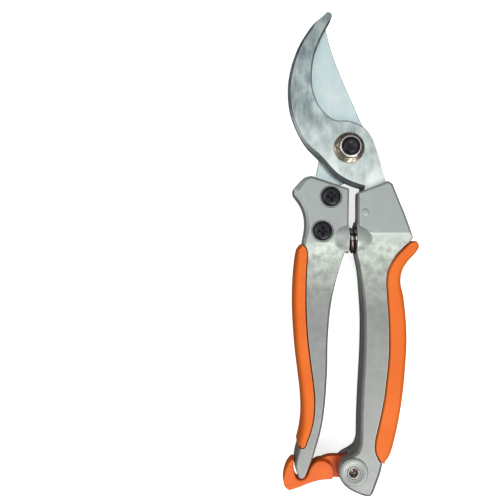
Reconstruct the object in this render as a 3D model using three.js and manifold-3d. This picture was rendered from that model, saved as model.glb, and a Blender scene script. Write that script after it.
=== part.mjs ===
// Bypass pruning shears, closed and latched, lying on their back.
// Millimetres. The origin is on the pivot axis, at the level of the surface that the shears lie on.
// +Y points to the blade tips, +Z out of the front face, +X to the handle that carries the hook.
import * as THREE from 'three';
import { mergeVertices } from 'three/addons/utils/BufferGeometryUtils.js';
import Module from 'manifold-3d';

const wasm = await Module();
wasm.setup();

// ---- driving dimensions ----------------------------------------------------------------------

const GAP = 0.3; // play left between neighbouring solids

const CASTING_BACK = 1.0; // the aluminium handles, measured up from the resting surface
const CASTING_FRONT = 16.0;
const CASTING_EDGE = 0.9; // rounding of the castings' outer edges
const GRIP_BACK = 0.0; // the soft grips stand proud of the castings on both faces
const GRIP_FRONT = 17.0;
const GRIP_EDGE = 0.4;

const BLADE_BACK = 5.6;
const BLADE_THICKNESS = 3.0;
const BLADE_FRONT = BLADE_BACK + BLADE_THICKNESS;
const HOOK_BACK = BLADE_FRONT + 0.4;
const HOOK_THICKNESS = 4.2;
const HOOK_FRONT = HOOK_BACK + HOOK_THICKNESS;
const HOOK_CHAMFER = 1.7; // ground edge round the outside of the hook
const HOOK_CHAMFER_DEPTH = 1.2;

const BOLT_RADIUS = 3.5;
const BOLT_HEAD_RADIUS = 6.6;
const BOLT_HEAD_HEIGHT = 3.7;
const BOLT_TOP = 20.0;
const BOLT_BORE = BOLT_RADIUS + 0.2; // bore of everything that sits on the bolt
const BUSH_RADIUS = 4.8;
const PLATE_BORE = BUSH_RADIUS + GAP; // bore of the two steel plates, which turn on the bush
const NUT_FLANGE_RADIUS = 6.4;
const NUT_FLANGE_HEIGHT = 1.5;
const NUT_ACROSS_FLATS = 9.0;
const NUT_TOP = 18.7;

const SCREW_PLACES = { upper: [-7.9, -20.6], lower: [-11.4, -34.9] };
const SCREW_HEAD_RADIUS = 4.1;
const SCREW_HEAD_HEIGHT = 2.3;
const SCREW_SHANK_RADIUS = 2.0;
const SPOT_FACE_RADIUS = 4.6; // turned seat under each screw head
const SPOT_FACE_DEPTH = 0.7;
const SCREW_NUT_ACROSS_FLATS = 7.0;
const SCREW_NUT_HEIGHT = 2.6;

const HOOK_PIN_PLACE = [6.3, -27.2];
const HOOK_PIN_RADIUS = 1.0;
const HOOK_PIN_HEAD_RADIUS = 1.7;
const HOOK_PIN_HEAD_HEIGHT = 1.1;

const SPRING_CENTRE = [0.9, -38.7, 9.0];
const SPRING_RADIUS = 4.7; // to the middle of the wire
const SPRING_WIRE_RADIUS = 0.8;
const SPRING_TURNS = 6.0;
const STEPS_PER_TURN = 12;
const SPRING_LEFT_END = -5.0;
const SPRING_RIGHT_END = 6.6;
const POCKET_RADIUS = 5.9;
const POCKET_FLOOR = 1.2; // from the wire's middle to the bottom of the pocket
const DOME = [13.5, 9.4, 10.3]; // half sizes of the ellipsoid whose caps bulge over the spring pockets
const DOME_CENTRE = [0.9, -37.8, 7.7];
const DOME_ROOT = 0.3; // how far the caps reach into the castings
const LEFT_FACE = -0.5; // the faces of the two heads that look at each other
const RIGHT_FACE = 3.0;

const HEAD_LIP_BACK = 11.0; // the right head's inner face is full from here to the front
const HEAD_RELIEF = 1.5;

const RIVET_PLACE = [1.4, -135.2];
const RIVET_RADIUS = 2.0;
const BOSS_RADIUS = 6.0;
const BOSS_HEIGHT = 0.8; // how far the round boss rises from the casting
const LEVER_BACK = 5.9;
const LEVER_FRONT = 13.4;
const LEVER_EDGE = 0.2;
const TONGUE_BACK = 6.2;
const TONGUE_FRONT = 10.2;
const LEVER_WASHER_THICKNESS = 0.6;

const ROUND_SIDES = 28;
const FINE_SIDES = 36;
const CURVE_STEPS = 2; // straight pieces between two points of a smooth outline
const CLOSED_WITHIN = 0.01;

// ---- materials -------------------------------------------------------------------------------

function material(color, roughness, metalness) {
  return new THREE.MeshStandardMaterial({ color, roughness, metalness });
}

const MATERIALS = {
  paint: material(0x9c9d98, 0.45, 0.55),
  grip: material(0xf0793c, 0.6, 0.0),
  lever: material(0xee7034, 0.45, 0.0),
  hookSteel: material(0x8ca09e, 0.4, 0.9),
  bladeSteel: material(0xc9d6d4, 0.25, 1.0),
  plated: material(0xcfc9a8, 0.3, 1.0),
  blackSteel: material(0x26262a, 0.4, 0.7),
  springSteel: material(0x4a3326, 0.4, 0.8),
  brass: material(0xb99a5e, 0.35, 1.0),
};

// ---- working with solids ---------------------------------------------------------------------

function toSolid(geometry) {
  geometry.deleteAttribute('normal');
  geometry.deleteAttribute('uv');
  const merged = mergeVertices(geometry, 1e-4);
  return new wasm.Manifold(
    new wasm.Mesh({
      numProp: 3,
      vertProperties: merged.attributes.position.array,
      triVerts: new Uint32Array(merged.index.array),
    }),
  );
}

function toGeometry(solid) {
  const mesh = solid.getMesh();
  const geometry = new THREE.BufferGeometry();
  geometry.setAttribute('position', new THREE.BufferAttribute(mesh.vertProperties, 3));
  geometry.setIndex(new THREE.BufferAttribute(mesh.triVerts, 1));
  geometry.computeVertexNormals();
  return geometry;
}

// An outline is a start point and runs of points. A run of one point is a straight line to it, and a longer
// one is a smooth curve through its points. The outline closes on its start.
function outline(start, ...runs) {
  const path = new THREE.Path();
  path.moveTo(...start);
  for (const run of runs) {
    if (run.length === 1) {
      path.lineTo(...run[0]);
    } else {
      path.splineThru(run.map(([x, y]) => new THREE.Vector2(x, y)));
    }
  }
  const points = path.getPoints(CURVE_STEPS);
  if (points[0].distanceTo(points.at(-1)) < CLOSED_WITHIN) {
    points.pop();
  }
  return new THREE.Shape(points);
}

// A flat body from z = low to z = high, with its edges rounded inwards by edge.
function plate(shape, low, high, edge = 0) {
  const geometry = new THREE.ExtrudeGeometry(shape, {
    depth: high - low - 2 * edge,
    bevelEnabled: edge > 0,
    bevelThickness: edge,
    bevelSize: edge,
    bevelOffset: -edge,
    bevelSegments: 2,
  });
  geometry.translate(0, 0, low + edge);
  return toSolid(geometry);
}

// A round or many-sided bar along Z.
function bar([x, y], radius, low, high, sides = ROUND_SIDES) {
  const geometry = new THREE.CylinderGeometry(radius, radius, high - low, sides);
  geometry.rotateX(Math.PI / 2);
  geometry.translate(x, y, (low + high) / 2);
  return toSolid(geometry);
}

function hexBar(place, acrossFlats, low, high) {
  return bar(place, acrossFlats / Math.sqrt(3), low, high, 6);
}

function block([x0, y0, z0], [x1, y1, z1]) {
  const geometry = new THREE.BoxGeometry(x1 - x0, y1 - y0, z1 - z0);
  geometry.translate((x0 + x1) / 2, (y0 + y1) / 2, (z0 + z1) / 2);
  return toSolid(geometry);
}

// A body of revolution about a line along Z. The profile is [radius, z] pairs.
function turned([x, y], profile, sides = ROUND_SIDES) {
  const geometry = new THREE.LatheGeometry(
    profile.map(([r, z]) => new THREE.Vector2(r, z)),
    sides,
  );
  geometry.rotateX(Math.PI / 2);
  geometry.translate(x, y, 0);
  return toSolid(geometry);
}

// A flat ring: the profile closes on itself.
function ring(place, inner, outer, low, high, sides = ROUND_SIDES) {
  return turned(place, [[inner, low], [outer, low], [outer, high], [inner, high], [inner, low]], sides);
}

const shears = new THREE.Group();

function add(name, solid, look) {
  const mesh = new THREE.Mesh(toGeometry(solid), look);
  mesh.name = name;
  shears.add(mesh);
}

// ---- the steel hook, in front of the cutting blade -------------------------------------------

// The outer edge runs from the tip down the back of the hook to where it meets the right handle.
const HOOK_BACK_EDGE = [
  [-14.8, 52.2], [-18.2, 47.6], [-21.0, 42.8], [-23.1, 37.6], [-24.6, 32.4], [-25.4, 27.0],
  [-25.4, 21.7], [-24.8, 16.3], [-23.3, 11.1], [-20.9, 5.7], [-17.6, 0.4], [-12.3, -5.0],
  [-7.2, -10.7], [-3.2, -13.7], [1.0, -15.7], [4.9, -17.0],
];
const HOOK_JAW = [
  [12.3, -2.3], [10.2, 3.6], [7.9, 7.3], [4.2, 10.1], [-0.2, 11.6], [-5.5, 11.9], [-9.2, 14.2],
  [-12.3, 17.8], [-14.0, 21.5], [-15.1, 25.2], [-15.5, 29.5], [-15.3, 33.6], [-14.6, 38.2],
  [-13.1, 42.8], [-11.2, 47.2], [-7.6, 53.8],
];
const HOOK_TIP = [-10.9, 55.6];
const HOOK_TIP_ROUND = [[-7.05, 55.6], [-7.3, 56.6], [-8.4, 57.1], [-9.6, 56.8], HOOK_TIP];

function hookOutline() {
  return outline(
    HOOK_TIP,
    HOOK_BACK_EDGE,
    [[4.7, -18.4]],
    [[4.7, -31.4]],
    [[16.8, -31.4]],
    [[17.0, -20.0]],
    [[15.6, -13.8]],
    HOOK_JAW,
    HOOK_TIP_ROUND,
  );
}

// The same outer edge, closed well beyond the jaw, so that only the outer edge is chamfered. The chamfer on
// its back lies below the hook, which keeps its full outline there.
function hookChamferBody() {
  const shape = outline(
    HOOK_TIP,
    HOOK_BACK_EDGE,
    [[5.0, -60.0]],
    [[60.0, -60.0]],
    [[60.0, 62.0]],
    [[-6.0, 62.0]],
  );
  const geometry = new THREE.ExtrudeGeometry(shape, {
    depth: HOOK_THICKNESS,
    bevelEnabled: true,
    bevelThickness: HOOK_CHAMFER_DEPTH,
    bevelSize: HOOK_CHAMFER,
    bevelOffset: -HOOK_CHAMFER,
    bevelSegments: 1,
  });
  geometry.translate(0, 0, HOOK_BACK - HOOK_CHAMFER_DEPTH);
  return toSolid(geometry);
}

add(
  'hook_blade',
  plate(hookOutline(), HOOK_BACK, HOOK_FRONT)
    .intersect(hookChamferBody())
    .subtract(bar([0, 0], PLATE_BORE, HOOK_BACK - 1, HOOK_FRONT + 1))
    .subtract(bar(HOOK_PIN_PLACE, HOOK_PIN_RADIUS + GAP, HOOK_BACK - 1, HOOK_FRONT + 1)),
  MATERIALS.hookSteel,
);

// ---- the cutting blade -----------------------------------------------------------------------

const BLADE_TIP = [-10.6, 53.0];
const BLADE_EDGE = [
  [-14.6, 47.0], [-17.4, 39.5], [-18.9, 31.0], [-18.9, 22.0], [-17.3, 13.5], [-14.8, 6.0],
  [-12.9, 0.5], [-12.1, -4.4],
];
const BLADE_SPINE = [
  [8.4, -7.6], [9.8, 0.0], [8.9, 6.0], [5.8, 11.4], [2.1, 19.9], [-1.7, 28.4], [-5.2, 37.2],
  [-7.8, 45.0], [-9.3, 51.6],
];

function bladeOutline() {
  return outline(
    BLADE_TIP,
    BLADE_EDGE,
    [[-12.4, -7.0], [-13.4, -11.5], [-14.0, -18.0], [-15.3, -28.0], [-15.5, -36.0]],
    [[-13.9, -39.0], [-11.4, -40.0], [-8.8, -39.0], [-7.4, -36.6]],
    [[-7.4, -31.6]],
    [[-4.6, -27.5], [-3.5, -22.0], [-3.3, -15.2]],
    [[3.4, -12.6], [8.4, -7.6]],
    BLADE_SPINE.slice(1),
  );
}

// A wedge that grinds the cutting edge on the blade's back face.
const EDGE_GRIND_WIDTH = 3.2;
const EDGE_GRIND_DEPTH = 2.4;

function bladeGrindBody() {
  const shape = outline([-4.0, 60.0], [BLADE_TIP], BLADE_EDGE, [[-12.1, -60.0]], [[60.0, -60.0]], [[60.0, 60.0]]);
  const geometry = new THREE.ExtrudeGeometry(shape, {
    depth: BLADE_THICKNESS,
    bevelEnabled: true,
    bevelThickness: EDGE_GRIND_DEPTH,
    bevelSize: EDGE_GRIND_WIDTH,
    bevelOffset: -EDGE_GRIND_WIDTH,
    bevelSegments: 1,
  });
  geometry.translate(0, 0, BLADE_BACK + EDGE_GRIND_DEPTH);
  return toSolid(geometry);
}

const upperBlade = plate(bladeOutline(), BLADE_BACK, BLADE_FRONT).intersect(bladeGrindBody());
const bladeTang = plate(bladeOutline(), BLADE_BACK, BLADE_FRONT).intersect(
  block([-40, -60, 0], [40, -2.0, 20]),
);
let cuttingBlade = upperBlade.add(bladeTang).subtract(bar([0, 0], PLATE_BORE, 0, 20));
for (const place of Object.values(SCREW_PLACES)) {
  cuttingBlade = cuttingBlade.subtract(bar(place, SCREW_SHANK_RADIUS + GAP, 0, 20));
}
add('cutting_blade', cuttingBlade, MATERIALS.bladeSteel);

// ---- the pivot -------------------------------------------------------------------------------

add(
  'pivot_bolt',
  turned([0, 0], [
    [0, 0],
    [BOLT_HEAD_RADIUS - 0.5, 0],
    [BOLT_HEAD_RADIUS, 0.6],
    [BOLT_HEAD_RADIUS, BOLT_HEAD_HEIGHT],
    [BOLT_RADIUS, BOLT_HEAD_HEIGHT],
    [BOLT_RADIUS, BOLT_TOP - 0.6],
    [BOLT_RADIUS - 0.6, BOLT_TOP],
    [0, BOLT_TOP],
  ]),
  MATERIALS.blackSteel,
);
add(
  'pivot_washer',
  ring([0, 0], BOLT_BORE, 6.2, BOLT_HEAD_HEIGHT + GAP, BLADE_BACK - GAP),
  MATERIALS.plated,
);
add('pivot_bush', ring([0, 0], BOLT_BORE, BUSH_RADIUS, BLADE_BACK, HOOK_FRONT), MATERIALS.brass);

const nutSeat = HOOK_FRONT + GAP;
const nutFlange = turned([0, 0], [
  [0, nutSeat],
  [NUT_FLANGE_RADIUS, nutSeat],
  [NUT_FLANGE_RADIUS, nutSeat + 0.5],
  [NUT_ACROSS_FLATS / 2, nutSeat + NUT_FLANGE_HEIGHT],
  [0, nutSeat + NUT_FLANGE_HEIGHT],
], FINE_SIDES);
const nutHex = hexBar([0, 0], NUT_ACROSS_FLATS, nutSeat + 0.4, NUT_TOP);
const nutCrown = turned([0, 0], [
  [0, nutSeat],
  [8.0, nutSeat],
  [8.0, NUT_TOP - 2.0],
  [NUT_ACROSS_FLATS / 2 - 0.2, NUT_TOP],
  [0, NUT_TOP],
], FINE_SIDES);
add(
  'pivot_nut',
  nutHex.intersect(nutCrown).add(nutFlange).subtract(bar([0, 0], BOLT_BORE, 10, 25)),
  MATERIALS.plated,
);

// ---- the left handle, which carries the cutting blade ----------------------------------------

const LEFT_INNER_EDGE = [
  [-2.6, -46.0], [-5.7, -56.5], [-7.8, -67.0], [-8.9, -80.0], [-9.2, -94.0], [-10.2, -108.0],
  [-11.8, -118.0], [-15.0, -129.0],
];
// The seam between casting and grip, from the top of the grip down.
const LEFT_SEAM = [
  [-17.7, -46.0], [-18.2, -56.0], [-18.2, -68.0], [-17.5, -80.0], [-16.3, -90.0], [-15.1, -99.0],
  [-14.6, -106.0], [-15.1, -113.3], [-16.4, -118.8], [-17.6, -122.0], [-18.3, -124.1],
];

function shifted(points, dx) {
  return points.map(([x, y]) => [x + dx, y]);
}

function leftCastingOutline() {
  return outline(
    [-15.8, -11.7],
    [[0.0, -17.1]],
    [[LEFT_FACE, -41.5]],
    LEFT_INNER_EDGE,
    [[-17.2, -134.4]],
    [[-18.6, -137.4], [-20.2, -138.2], [-21.6, -137.4]],
    [[-22.7, -134.0]],
    [[-22.5, -130.0], [-20.5, -122.0], [-17.5, -110.0], [-19.0, -80.0], [-19.8, -55.0], [-19.6, -41.0]],
    [[-18.7, -36.4], [-18.2, -32.0], [-18.7, -27.6], [-20.3, -23.6], [-23.2, -19.6]],
    [[-23.4, -17.4]],
    [[-21.3, -14.9], [-18.9, -12.5], [-15.8, -11.7]],
  );
}

// The recess that the grip is moulded into: the seam, closed well outside the casting.
function leftGripRecess() {
  const shape = outline(
    [-30.0, -40.1],
    [[-19.7, -40.1]],
    [[-18.4, -41.2], [-17.6, -43.0], ...shifted(LEFT_SEAM, GAP)],
    [[-18.6, -125.1], [-19.4, -125.4]],
    [[-30.0, -125.6]],
  );
  return plate(shape, -1, 20);
}

function leftGripOutline() {
  return outline(
    [-20.2, -40.5],
    [[-18.7, -41.4], [-17.9, -43.2], ...LEFT_SEAM],
    [[-19.0, -124.9], [-20.9, -124.9], [-21.7, -123.6]],
    [
      [-20.5, -118.6], [-19.8, -112.0], [-20.1, -103.5], [-21.1, -95.0], [-22.3, -85.0],
      [-23.1, -75.0], [-23.5, -65.0], [-23.2, -54.5], [-22.4, -46.5], [-21.6, -42.4],
    ],
  );
}

// The bulges over the spring pocket on the front and back faces, from x = low to x = high.
function springDomes(low, high) {
  const geometry = new THREE.SphereGeometry(1, 36, 24);
  geometry.scale(...DOME);
  geometry.translate(...DOME_CENTRE);
  const ellipsoid = toSolid(geometry);
  const front = ellipsoid.intersect(block([low, -60, CASTING_FRONT - DOME_ROOT], [high, -20, 30]));
  const back = front.mirror([0, 0, 1]).translate([0, 0, 2 * SPRING_CENTRE[2]]);
  return front.add(back);
}

function springPocket(low, high) {
  const geometry = new THREE.CylinderGeometry(POCKET_RADIUS, POCKET_RADIUS, high - low, ROUND_SIDES);
  geometry.rotateZ(Math.PI / 2);
  geometry.translate((low + high) / 2, SPRING_CENTRE[1], SPRING_CENTRE[2]);
  return toSolid(geometry);
}

// The slot for the blade's tang is the tang's own outline with play all round, open at the top of the casting.
function tangSlot() {
  const shape = outline(
    [-13.6, -5.0],
    [[-14.4, -18.0], [-15.9, -28.0], [-16.1, -36.2]],
    [[-14.1, -39.5], [-11.4, -40.6], [-8.5, -39.5], [-6.9, -36.8]],
    [[-6.9, -31.2]],
    [[-4.1, -27.3], [-2.9, -21.8], [-2.5, -16.0]],
    [[-2.5, -5.0]],
  );
  return plate(shape, BLADE_BACK - GAP, BLADE_FRONT + GAP);
}

let leftHandle = plate(leftCastingOutline(), CASTING_BACK, CASTING_FRONT, CASTING_EDGE)
  .subtract(leftGripRecess())
  .add(springDomes(-20, LEFT_FACE))
  .subtract(tangSlot())
  .subtract(springPocket(SPRING_LEFT_END - POCKET_FLOOR, LEFT_FACE + 1));
for (const place of Object.values(SCREW_PLACES)) {
  leftHandle = leftHandle
    .subtract(bar(place, SPOT_FACE_RADIUS, CASTING_FRONT - SPOT_FACE_DEPTH, CASTING_FRONT + 2))
    .subtract(bar(place, SCREW_SHANK_RADIUS + GAP, 0, 20))
    .subtract(hexBar(place, SCREW_NUT_ACROSS_FLATS + 2 * GAP, 0, CASTING_BACK + 0.3 + SCREW_NUT_HEIGHT));
}
add('left_handle', leftHandle, MATERIALS.paint);
add('left_grip', plate(leftGripOutline(), GRIP_BACK, GRIP_FRONT, GRIP_EDGE), MATERIALS.grip);

// ---- screws and nuts through the left handle and the blade's tang ----------------------------

function crossRecess([x, y], top) {
  const length = 2.1;
  const width = 0.45;
  const depth = 1.3;
  return block([x - length, y - width, top - depth], [x + length, y + width, top + 1]).add(
    block([x - width, y - length, top - depth], [x + width, y + length, top + 1]),
  );
}

for (const [name, place] of Object.entries(SCREW_PLACES)) {
  const seat = CASTING_FRONT - SPOT_FACE_DEPTH + 0.1;
  const top = seat + SCREW_HEAD_HEIGHT;
  const end = CASTING_BACK + 0.2;
  const screw = turned(place, [
    [0, end],
    [SCREW_SHANK_RADIUS, end],
    [SCREW_SHANK_RADIUS, seat],
    [SCREW_HEAD_RADIUS, seat],
    [SCREW_HEAD_RADIUS, seat + 1.1],
    [SCREW_HEAD_RADIUS - 0.6, top - 0.3],
    [SCREW_HEAD_RADIUS - 1.6, top],
    [0, top],
  ]);
  add(`blade_screw_${name}`, screw.subtract(crossRecess(place, top)), MATERIALS.blackSteel);
  const nut = hexBar(place, SCREW_NUT_ACROSS_FLATS, CASTING_BACK + 0.3, CASTING_BACK + SCREW_NUT_HEIGHT);
  add(`blade_nut_${name}`, nut.subtract(bar(place, SCREW_SHANK_RADIUS + 0.2, 0, 10)), MATERIALS.plated);
}

// ---- the right handle, which carries the hook ------------------------------------------------

const RIGHT_SEAM = [
  [17.2, -48.8], [15.8, -52.4], [15.3, -56.7], [15.6, -62.3], [16.1, -70.0], [16.4, -80.0],
  [16.2, -88.0], [15.4, -96.0], [14.1, -106.0], [12.2, -115.0], [10.8, -121.0], [10.4, -125.0],
  [11.0, -128.0],
];

function rightCastingOutline() {
  return outline(
    [RIGHT_FACE + 0.4, -18.7],
    [[14.0, -14.6]],
    [[16.0, -13.9], [18.1, -15.2]],
    [[20.6, -21.4], [23.3, -28.0], [25.6, -34.4], [26.6, -37.6]],
    [[23.0, -44.0], [19.0, -52.0], [18.6, -62.0], [19.8, -80.0], [18.6, -98.0], [16.0, -114.0], [14.4, -128.0]],
    [[13.2, -135.0], [10.6, -142.6]],
    [[9.2, -145.2], [7.0, -145.6], [4.4, -144.9], [0.2, -142.9], [-2.4, -140.9]],
    [[-4.1, -138.2], [-4.7, -135.2], [-4.1, -132.2], [-2.2, -129.9], [0.6, -128.3], [3.2, -126.3], [4.3, -123.0]],
    [[4.5, -112.0], [5.1, -99.0], [5.8, -86.0], [6.0, -72.0], [5.4, -61.0], [4.6, -52.0], [RIGHT_FACE, -44.0]],
  );
}

function rightGripRecess() {
  const shape = outline(
    [40.0, -38.4],
    [[27.4, -38.6]],
    [[24.8, -39.5], [19.7, -44.4], ...shifted(RIGHT_SEAM, -GAP)],
    [[12.0, -130.5], [13.5, -131.9]],
    [[40.0, -132.1]],
  );
  return plate(shape, -1, 20);
}

function rightGripOutline() {
  return outline(
    [25.0, -39.9],
    [[20.1, -44.7], ...RIGHT_SEAM],
    [[12.3, -130.3], [13.7, -131.6], [14.6, -131.7], [15.3, -130.7]],
    [
      [17.3, -127.3], [19.3, -120.0], [21.2, -110.5], [22.6, -100.5], [23.5, -90.5], [24.0, -81.0],
      [23.7, -72.0], [22.7, -62.5], [21.5, -56.5], [22.1, -51.6], [24.4, -47.7], [27.6, -44.1],
      [29.1, -41.8],
    ],
    [[28.7, -39.9], [27.6, -39.0]],
  );
}

// The slot for the hook's tang, open at the top of the casting.
function hookSlot() {
  const shape = outline(
    [4.2, -5.0],
    [[4.3, -31.9]],
    [[17.3, -31.9]],
    [[17.5, -20.0]],
    [[16.2, -13.0]],
    [[13.5, -5.0]],
  );
  return plate(shape, HOOK_BACK - GAP, HOOK_FRONT + GAP);
}

// The inner face of the head is relieved behind its front lip, above the spring pocket.
function headRelief() {
  const shape = outline(
    [RIGHT_FACE - 1.0, -10.0],
    [[RIGHT_FACE - 1.0, -31.0]],
    [[RIGHT_FACE + 0.5, -31.0], [RIGHT_FACE + 1.2, -30.6], [RIGHT_FACE + HEAD_RELIEF, -29.6]],
    [[RIGHT_FACE + HEAD_RELIEF, -10.0]],
  );
  return plate(shape, CASTING_BACK - 1.0, HEAD_LIP_BACK);
}

// The latch lever turns in a slot across the end of the handle.
function leverSlot() {
  const webFace = RIVET_PLACE[0] + 6.4;
  return block([-12, -150, TONGUE_BACK - GAP - LEVER_WASHER_THICKNESS - GAP], [webFace, -128.6, TONGUE_FRONT + GAP]);
}

const bossFront = CASTING_FRONT + BOSS_HEIGHT;
const hookPinTop = CASTING_FRONT + 0.5;
const hookPinSeat = hookPinTop - HOOK_PIN_HEAD_HEIGHT;
const rightHandle = plate(rightCastingOutline(), CASTING_BACK, CASTING_FRONT, CASTING_EDGE)
  .subtract(rightGripRecess())
  .add(bar([1.6, -135.0], BOSS_RADIUS, CASTING_BACK + 2, bossFront, FINE_SIDES))
  .add(springDomes(RIGHT_FACE, 20))
  .subtract(hookSlot())
  .subtract(headRelief())
  .subtract(springPocket(RIGHT_FACE - 1, SPRING_RIGHT_END + POCKET_FLOOR))
  .subtract(leverSlot())
  .subtract(bar(HOOK_PIN_PLACE, HOOK_PIN_RADIUS + GAP, 0, 20))
  .subtract(bar(HOOK_PIN_PLACE, HOOK_PIN_HEAD_RADIUS + 0.1, hookPinSeat - 0.1, 20))
  .subtract(bar(RIVET_PLACE, RIVET_RADIUS + 0.2, 0, 20))
  .subtract(bar(RIVET_PLACE, 3.6, bossFront - 1.4, 20))
  .subtract(bar(RIVET_PLACE, 3.6, 0, CASTING_BACK + 1.4));
add('right_handle', rightHandle, MATERIALS.paint);
add('right_grip', plate(rightGripOutline(), GRIP_BACK, GRIP_FRONT, GRIP_EDGE), MATERIALS.grip);
add(
  'hook_pin',
  turned(HOOK_PIN_PLACE, [
    [0, CASTING_BACK + 0.1],
    [HOOK_PIN_RADIUS, CASTING_BACK + 0.1],
    [HOOK_PIN_RADIUS, hookPinSeat],
    [HOOK_PIN_HEAD_RADIUS, hookPinSeat],
    [HOOK_PIN_HEAD_RADIUS, hookPinTop - 0.3],
    [HOOK_PIN_HEAD_RADIUS - 0.4, hookPinTop],
    [0, hookPinTop],
  ]),
  MATERIALS.paint,
);

// ---- the spring between the handles ----------------------------------------------------------

class Helix extends THREE.Curve {
  getPoint(t, target = new THREE.Vector3()) {
    const turn = 2 * Math.PI * SPRING_TURNS * t;
    return target.set(
      SPRING_LEFT_END + (SPRING_RIGHT_END - SPRING_LEFT_END) * t,
      SPRING_CENTRE[1] + SPRING_RADIUS * Math.cos(turn),
      SPRING_CENTRE[2] + SPRING_RADIUS * Math.sin(turn),
    );
  }
}

function springCoil() {
  const section = new THREE.Shape();
  section.absarc(0, 0, SPRING_WIRE_RADIUS, 0, 2 * Math.PI);
  return new THREE.ExtrudeGeometry(section, {
    steps: Math.round(SPRING_TURNS * STEPS_PER_TURN),
    curveSegments: 3,
    bevelEnabled: false,
    extrudePath: new Helix(),
  });
}

add('handle_spring', toSolid(springCoil()), MATERIALS.springSteel);

// ---- the latch -------------------------------------------------------------------------------

// A hooked arm: its mouth takes the tip of the left handle.
function leverOutline() {
  return outline(
    [-22.9, -130.4],
    [[-24.2, -130.7], [-25.9, -132.9], [-27.1, -136.4], [-27.5, -140.0], [-26.6, -142.6], [-24.9, -143.7]],
    [[-20.9, -142.4], [-16.6, -140.7], [-12.0, -139.4], [-7.0, -139.0]],
    [[-6.3, -137.2], [-6.2, -135.4], [-7.4, -132.9], [-9.2, -131.6]],
    [[-11.0, -131.0], [-13.2, -131.3], [-15.0, -132.4]],
    [[-16.4, -134.4], [-17.4, -137.0], [-18.8, -138.8], [-20.4, -139.2], [-21.8, -138.6], [-22.6, -137.0]],
    [[-23.3, -133.0], [-22.9, -130.4]],
  );
}

// The thin inner end, which turns in the slot of the right handle.
function tongueOutline() {
  return outline(
    [-12.0, -138.9],
    [[-12.0, -131.3]],
    [[-8.0, -130.0], [-3.6, -129.9], [1.4, -130.0]],
    [[5.0, -131.5], [6.6, -135.2], [5.0, -138.9], [1.4, -140.4], [-3.6, -139.2], [-12.0, -138.9]],
  );
}

const lever = plate(leverOutline(), LEVER_BACK, LEVER_FRONT, LEVER_EDGE)
  .add(plate(tongueOutline(), TONGUE_BACK, TONGUE_FRONT))
  .subtract(bar(RIVET_PLACE, RIVET_RADIUS + 0.2, 0, 20));
add('latch_lever', lever, MATERIALS.lever);
add(
  'latch_washer',
  ring(RIVET_PLACE, RIVET_RADIUS + 0.2, 4.6, TONGUE_BACK - GAP - LEVER_WASHER_THICKNESS, TONGUE_BACK - GAP),
  MATERIALS.plated,
);
add(
  'latch_rivet',
  turned(RIVET_PLACE, [
    [0, CASTING_BACK + 0.3],
    [3.2, CASTING_BACK + 0.3],
    [3.2, CASTING_BACK + 1.1],
    [RIVET_RADIUS, CASTING_BACK + 1.1],
    [RIVET_RADIUS, bossFront - 1.0],
    [2.4, bossFront - 1.0],
    [2.3, bossFront - 0.4],
    [1.5, bossFront - 0.4],
    [1.1, bossFront - 3.0],
    [0, bossFront - 3.0],
  ]),
  MATERIALS.brass,
);

export default shears;
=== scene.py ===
"""Bypass pruning shears: the visual model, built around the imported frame.

Outlines are in millimetres in the frame's own axes: the origin on the pivot, +Y to the blade tips, +Z out of
the front face. Pieces are built in metres.
"""
import math

import bmesh
import bpy
import numpy as np
from mathutils import Matrix, Vector


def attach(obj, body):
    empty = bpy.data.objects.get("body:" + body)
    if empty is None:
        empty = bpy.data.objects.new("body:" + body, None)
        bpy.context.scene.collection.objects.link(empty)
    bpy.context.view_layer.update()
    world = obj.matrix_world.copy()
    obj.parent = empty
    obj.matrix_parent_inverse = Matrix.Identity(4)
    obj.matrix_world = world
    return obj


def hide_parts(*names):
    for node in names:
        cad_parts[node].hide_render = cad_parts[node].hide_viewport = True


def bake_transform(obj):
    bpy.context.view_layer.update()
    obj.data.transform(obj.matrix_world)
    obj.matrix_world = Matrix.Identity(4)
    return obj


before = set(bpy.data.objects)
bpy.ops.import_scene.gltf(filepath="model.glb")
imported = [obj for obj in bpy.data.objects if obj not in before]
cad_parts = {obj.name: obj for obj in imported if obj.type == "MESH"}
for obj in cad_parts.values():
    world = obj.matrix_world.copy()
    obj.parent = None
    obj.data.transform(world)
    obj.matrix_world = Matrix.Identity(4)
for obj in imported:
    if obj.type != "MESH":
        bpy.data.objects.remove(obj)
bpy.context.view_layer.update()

MM = 0.001

# ---- camera ----------------------------------------------

CAMERA_PLACE = (-41.5, -42.8, 289.0)
CAMERA_LENS = 47.4


def make_camera():
    data = bpy.data.cameras.new("camera")
    data.lens = CAMERA_LENS
    data.sensor_width = 36.0
    data.clip_start = 0.01
    data.clip_end = 20.0
    camera = bpy.data.objects.new("camera", data)
    camera.location = Vector(CAMERA_PLACE) * MM
    bpy.context.scene.collection.objects.link(camera)
    bpy.context.scene.camera = camera


# ---- driving dimensions ----------------------------------

GAP = 0.3
CASTING_BACK, CASTING_FRONT = 1.0, 16.0
GRIP_BACK, GRIP_FRONT = 0.0, 17.0
BLADE_BACK, BLADE_FRONT = 5.6, 8.6
HOOK_BACK, HOOK_FRONT = 9.0, 13.2
BOLT_RADIUS, BOLT_HEAD_RADIUS, BOLT_HEAD_HEIGHT, BOLT_TOP = 3.5, 6.6, 3.7, 20.0
BOLT_BORE, BUSH_RADIUS, PLATE_BORE = 3.7, 4.8, 5.1
NUT_SEAT, NUT_TOP, NUT_FLANGE_RADIUS, NUT_ACROSS_FLATS = 13.5, 18.7, 6.4, 9.0
SCREW_PLACES = {"upper": (-7.9, -20.6), "lower": (-11.4, -34.9)}
SCREW_HEAD_RADIUS, SCREW_SEAT, SCREW_TOP, SCREW_SHANK = 4.1, 15.4, 17.7, 2.0
SPOT_FACE_RADIUS, SPOT_FACE_FLOOR = 4.6, 15.3
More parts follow.
